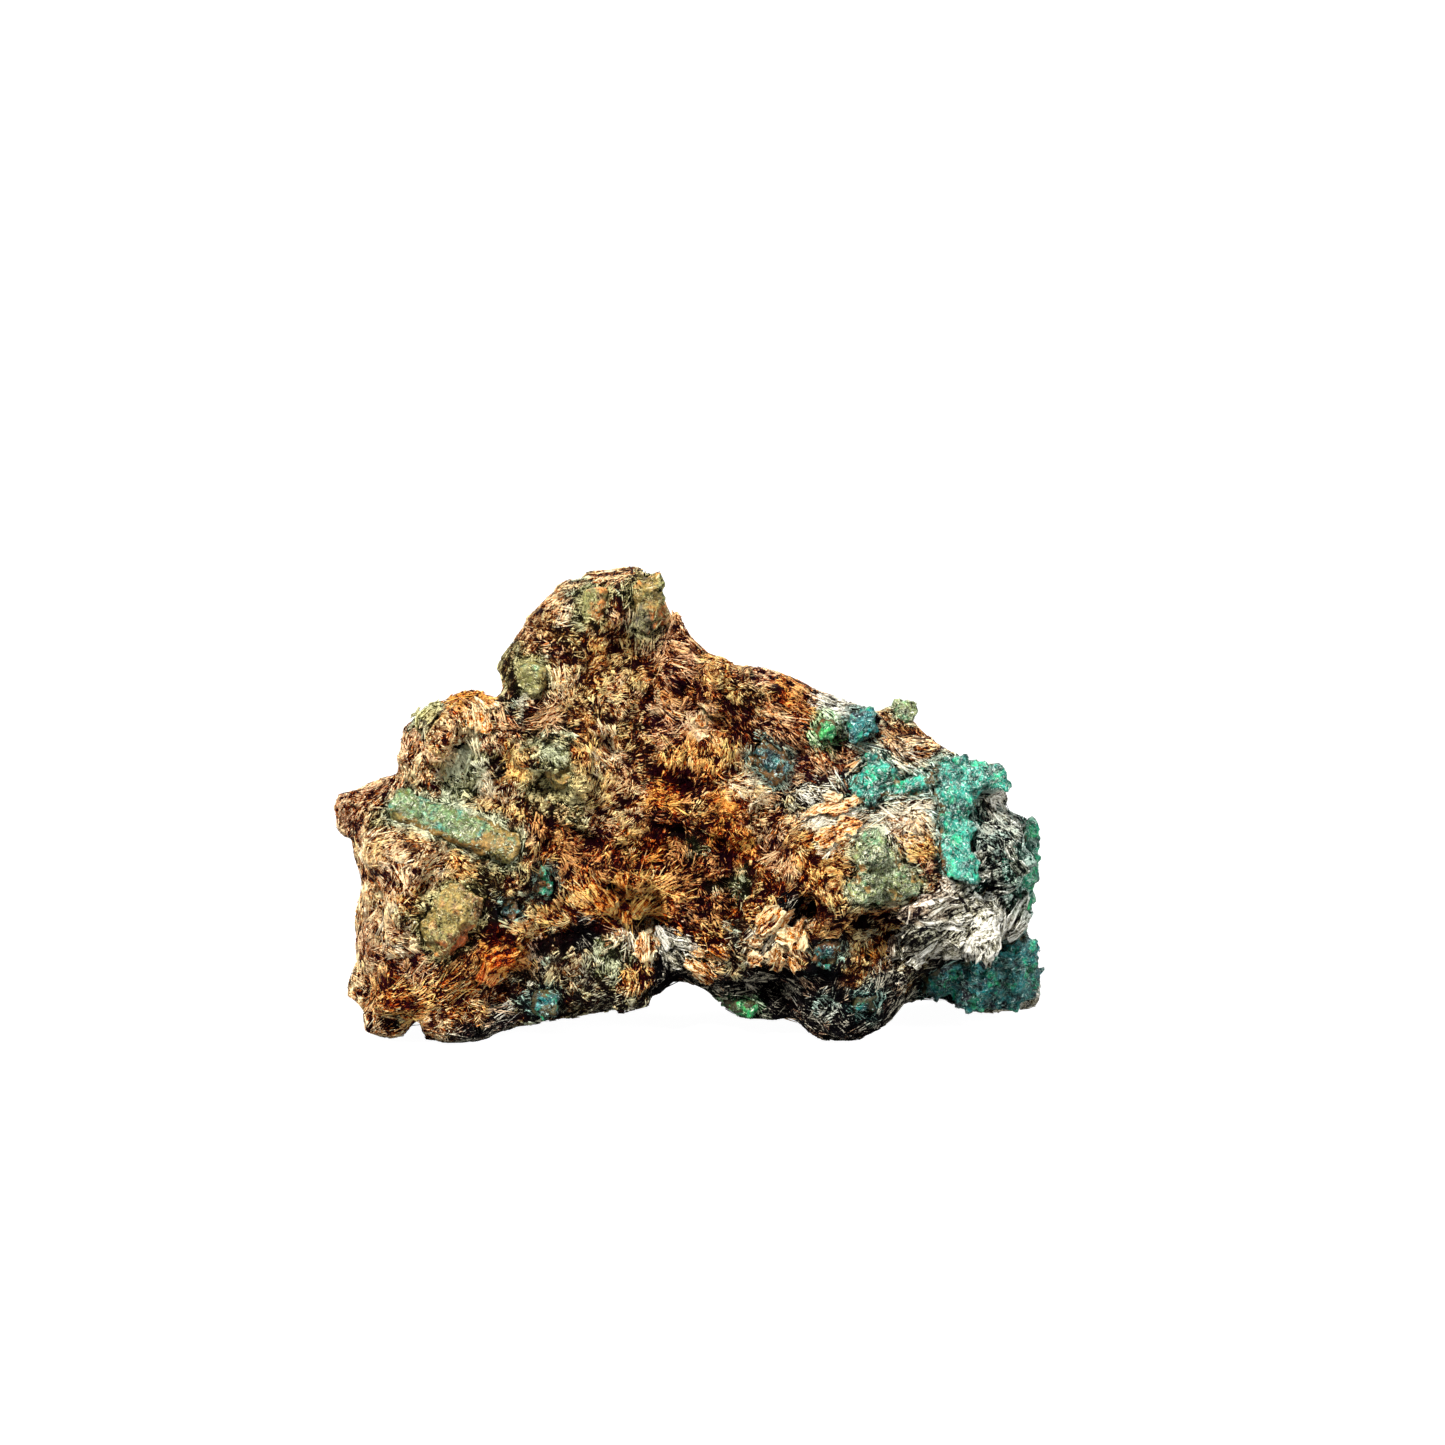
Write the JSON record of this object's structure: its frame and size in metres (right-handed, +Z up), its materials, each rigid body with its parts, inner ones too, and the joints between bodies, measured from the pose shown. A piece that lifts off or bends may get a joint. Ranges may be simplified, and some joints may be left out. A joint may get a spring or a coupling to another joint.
{
  "type": "emerald in matrix",
  "caption": "Rugged hand specimen of golden-brown mica schist with green emerald prisms and patches set in it, resting on its own feet.",
  "frame": {"origin": "middle of the stone's bounding box, on the surface that its feet stand on", "axes": "+X to the right of the show side, -Y out of the show side, +Z up"},
  "size_m": [0.0886, 0.0432, 0.0574],
  "materials": {
    "mica_schist": "pearly, broken mica flakes",
    "emerald": "glassy, translucent, frosted",
    "pale_beryl": "frosted, dusted with mica"
  },
  "bodies": {
    "root": {"schist_matrix": "mica_schist", "long_emerald": "emerald", "tall_emerald": "emerald", "teal_twins": "emerald", "knob_emerald": "pale_beryl", "dark_slope_emerald": "emerald", "light_slope_emerald": "emerald", "right_edge_emerald": "emerald", "corner_emeralds": "emerald", "blue_emerald": "emerald", "sage_cluster": "pale_beryl", "swelling_emerald": "emerald", "left_green_emerald": "emerald", "left_small_emerald": "emerald", "olive_knob_emerald": "pale_beryl", "mound_emerald": "pale_beryl", "peak_emerald": "pale_beryl", "peak_small_emerald": "pale_beryl", "peak_left_emerald": "pale_beryl", "arch_emerald": "emerald", "belly_emerald": "emerald", "foot_emerald": "emerald"}
  },
  "joints": []
}
